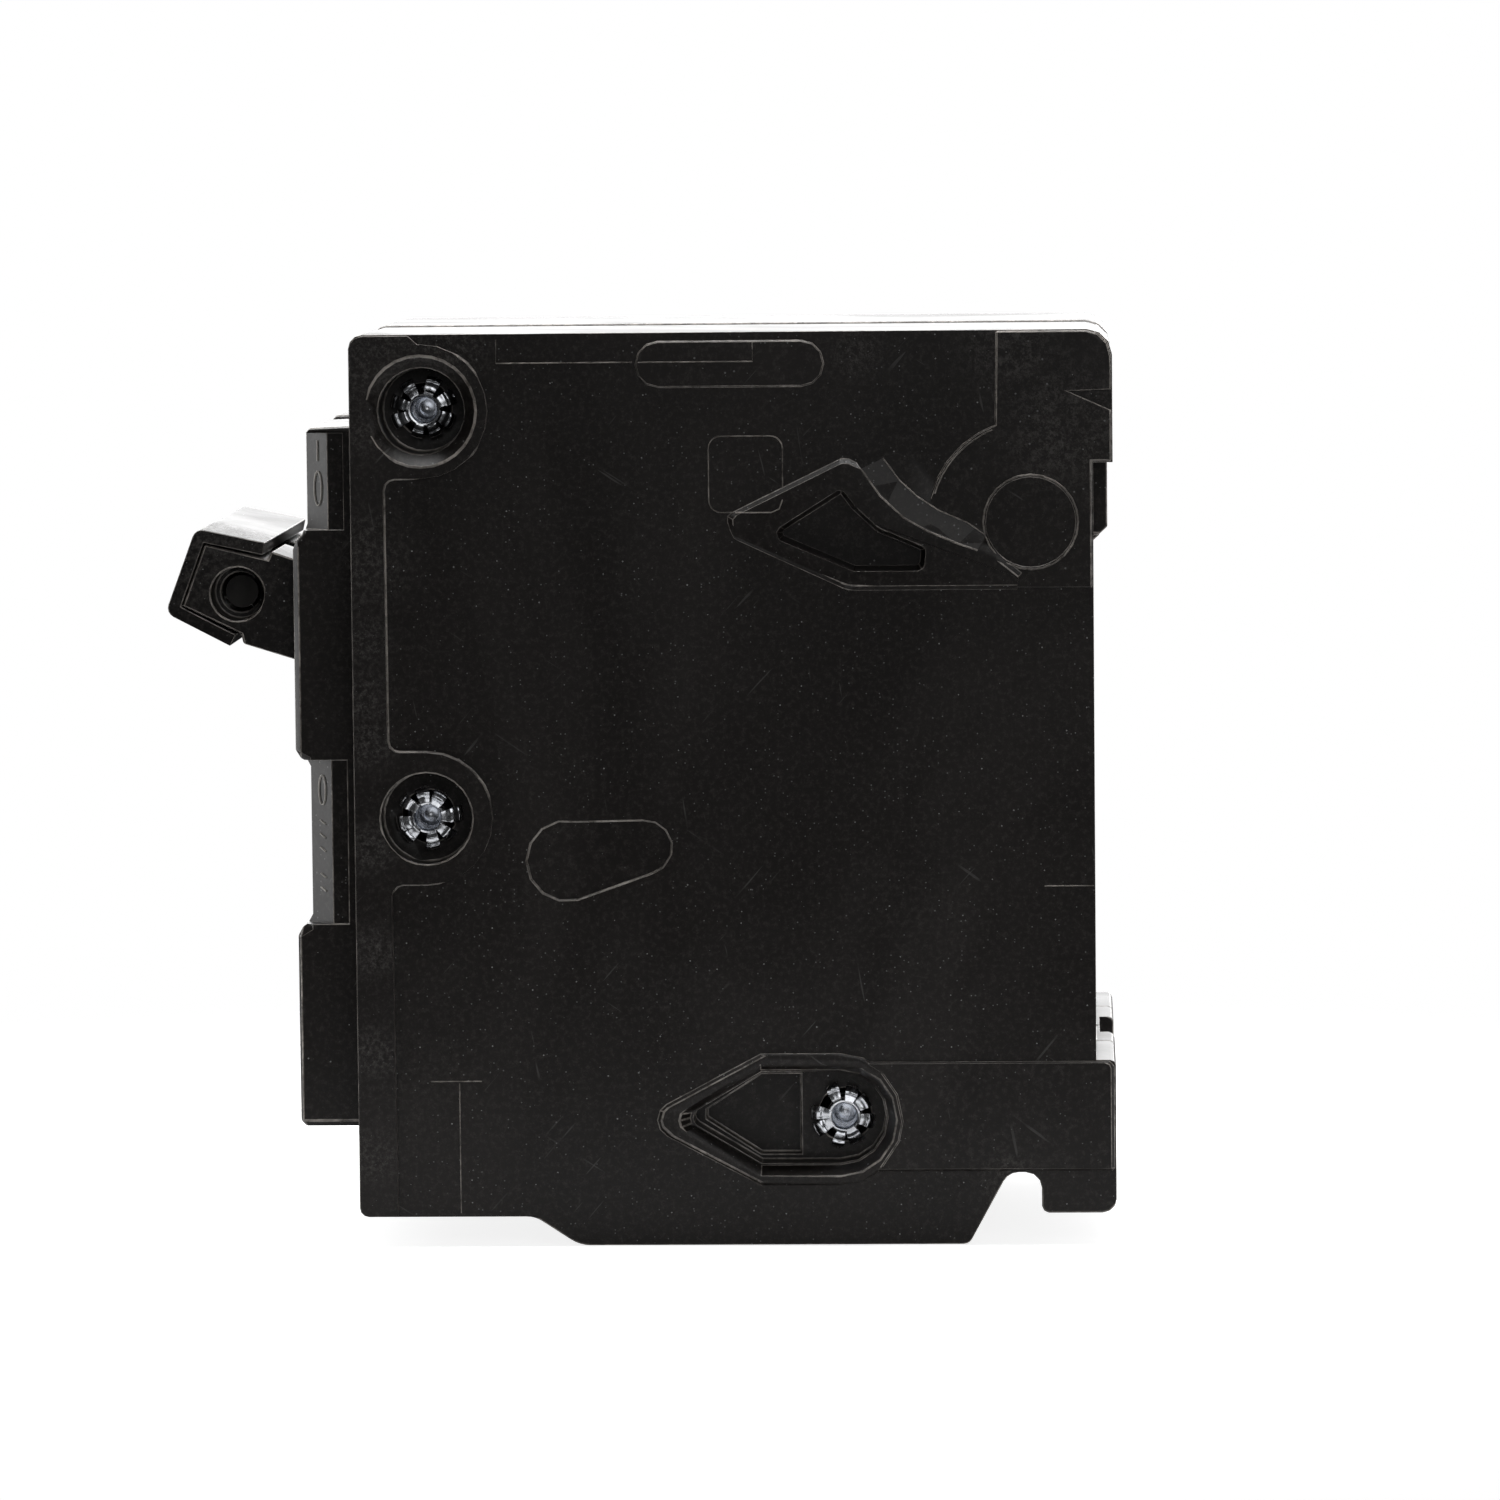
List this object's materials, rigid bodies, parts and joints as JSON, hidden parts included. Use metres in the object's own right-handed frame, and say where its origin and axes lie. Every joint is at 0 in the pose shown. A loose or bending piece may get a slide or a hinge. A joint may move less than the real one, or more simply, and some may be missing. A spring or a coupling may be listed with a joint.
{
  "type": "circuit breaker",
  "caption": "Plug-in moulded-case circuit breaker with tied toggle handles, riveted shells, panel jaws, a rail notch and screw terminals.",
  "frame": {"origin": "under the middle of the whole breaker, in the plane that its load end rests on", "axes": "+Z from the load end up to the line end, +X from the handle side back into the panel, +Y across the poles from pole A to pole B"},
  "size_m": [0.0828, 0.0506, 0.0795],
  "materials": {
    "case_plastic": "moulded black-brown phenolic, satin, lightly scuffed",
    "handle_plastic": "moulded black phenolic, satin",
    "trip_bar_plastic": "moulded brown phenolic",
    "bright_zinc": "bright zinc plated steel",
    "plated_steel": "dull zinc plated steel",
    "spring_steel": "bare spring steel",
    "copper": "rolled copper",
    "contact_silver": "silver alloy contact face",
    "bimetal": "rolled bimetal strip",
    "brass": "plain brass"
  },
  "bodies": {
    "housing": {"cover_a": "case_plastic", "cover_b": "case_plastic", "base_a": "case_plastic", "base_b": "case_plastic", "line_jaw_a": "copper", "line_jaw_b": "copper", "jaw_spring_a": "spring_steel", "jaw_spring_b": "spring_steel", "line_strap_a": "copper", "line_strap_b": "copper", "fixed_contact_a": "contact_silver", "fixed_contact_b": "contact_silver", "arc_chute_a": "plated_steel", "arc_chute_b": "plated_steel", "magnet_yoke_a": "plated_steel", "magnet_yoke_b": "plated_steel", "bimetal_a": "bimetal", "bimetal_b": "bimetal", "braid_a": "copper", "braid_b": "copper", "load_strap_a": "copper", "load_strap_b": "copper", "terminal_lug_a": "plated_steel", "terminal_lug_b": "plated_steel", "rivet_top": "bright_zinc", "rivet_front": "bright_zinc", "rivet_foot": "bright_zinc"},
    "handle": {"handle_a": "handle_plastic", "handle_b": "handle_plastic", "handle_cap": "handle_plastic", "handle_tie_pin": "plated_steel", "arm_pin_a": "plated_steel", "arm_pin_b": "plated_steel"},
    "contact_arm_a": {"contact_arm_a": "copper", "moving_contact_a": "contact_silver"},
    "contact_arm_b": {"contact_arm_b": "copper", "moving_contact_b": "contact_silver"},
    "cradle_a": {"cradle_a": "plated_steel", "toggle_spring_a": "spring_steel"},
    "cradle_b": {"cradle_b": "plated_steel", "toggle_spring_b": "spring_steel"},
    "armature_a": {"armature_a": "plated_steel"},
    "armature_b": {"armature_b": "plated_steel"},
    "trip_bar": {"trip_bar": "trip_bar_plastic"},
    "terminal_clamp_a": {"clamp_saddle_a": "brass"},
    "terminal_screw_a": {"terminal_screw_a": "bright_zinc"},
    "terminal_clamp_b": {"clamp_saddle_b": "brass"},
    "terminal_screw_b": {"terminal_screw_b": "bright_zinc"}
  },
  "joints": [
    {"name": "handle_throw", "type": "hinge", "parent": "housing", "child": "handle", "pos_m": [-0.02163, 0, 0.052], "axis": [0, -1, 0], "range_deg": [0, 40]},
    {"name": "contact_arm_a_swing", "type": "hinge", "parent": "handle", "child": "contact_arm_a", "pos_m": [-0.01643, -0.01265, 0.0501], "axis": [0, -1, 0], "range_deg": [-64.71, 0], "deforming": ["toggle_spring_a", "braid_a"]},
    {"name": "contact_arm_b_swing", "type": "hinge", "parent": "handle", "child": "contact_arm_b", "pos_m": [-0.01643, 0.01275, 0.0501], "axis": [0, -1, 0], "range_deg": [-64.71, 0], "deforming": ["toggle_spring_b", "braid_b"]},
    {"name": "cradle_a_trip", "type": "hinge", "parent": "housing", "child": "cradle_a", "pos_m": [-0.00863, -0.01265, 0.041], "axis": [0, 1, 0], "range_deg": [0, 25], "deforming": ["toggle_spring_a"]},
    {"name": "cradle_b_trip", "type": "hinge", "parent": "housing", "child": "cradle_b", "pos_m": [-0.00863, 0.01275, 0.041], "axis": [0, 1, 0], "range_deg": [0, 25], "deforming": ["toggle_spring_b"]},
    {"name": "armature_a_pull", "type": "hinge", "parent": "housing", "child": "armature_a", "pos_m": [0.01997, -0.01265, 0.0503], "axis": [0, -1, 0], "range_deg": [0, 4], "stiffness_Nm_per_rad": 0.01, "springref_deg": -2.86},
    {"name": "armature_b_pull", "type": "hinge", "parent": "housing", "child": "armature_b", "pos_m": [0.01997, 0.01275, 0.0503], "axis": [0, -1, 0], "range_deg": [0, 4], "stiffness_Nm_per_rad": 0.01, "springref_deg": -2.86},
    {"name": "trip_bar_turn", "type": "hinge", "parent": "housing", "child": "trip_bar", "pos_m": [0.01557, 0, 0.0225], "axis": [0, 1, 0], "range_deg": [0, 12]},
    {"name": "terminal_clamp_a_slide", "type": "slide", "parent": "housing", "child": "terminal_clamp_a", "axis": [1, 0, 0], "range_m": [0, 0.0023]},
    {"name": "terminal_screw_a_turn", "type": "hinge", "parent": "terminal_clamp_a", "child": "terminal_screw_a", "pos_m": [-0.02303, -0.01265, 0.0068], "axis": [1, 0, 0], "range_deg": [0, 1035]},
    {"name": "terminal_clamp_b_slide", "type": "slide", "parent": "housing", "child": "terminal_clamp_b", "axis": [1, 0, 0], "range_m": [0, 0.0023]},
    {"name": "terminal_screw_b_turn", "type": "hinge", "parent": "terminal_clamp_b", "child": "terminal_screw_b", "pos_m": [-0.02303, 0.01275, 0.0068], "axis": [1, 0, 0], "range_deg": [0, 1035]}
  ],
  "couplings": [
    {"joint": "contact_arm_a_swing", "follows": "handle_throw", "ratio": -1.6175},
    {"joint": "contact_arm_b_swing", "follows": "handle_throw", "ratio": -1.6175},
    {"joint": "cradle_b_trip", "follows": "cradle_a_trip", "ratio": 1},
    {"joint": "armature_b_pull", "follows": "armature_a_pull", "ratio": 1},
    {"joint": "trip_bar_turn", "follows": "armature_a_pull", "ratio": 3},
    {"joint": "terminal_screw_a_turn", "follows": "terminal_clamp_a_slide", "rad_per_m": 7854},
    {"joint": "terminal_screw_b_turn", "follows": "terminal_clamp_b_slide", "rad_per_m": 7854}
  ]
}
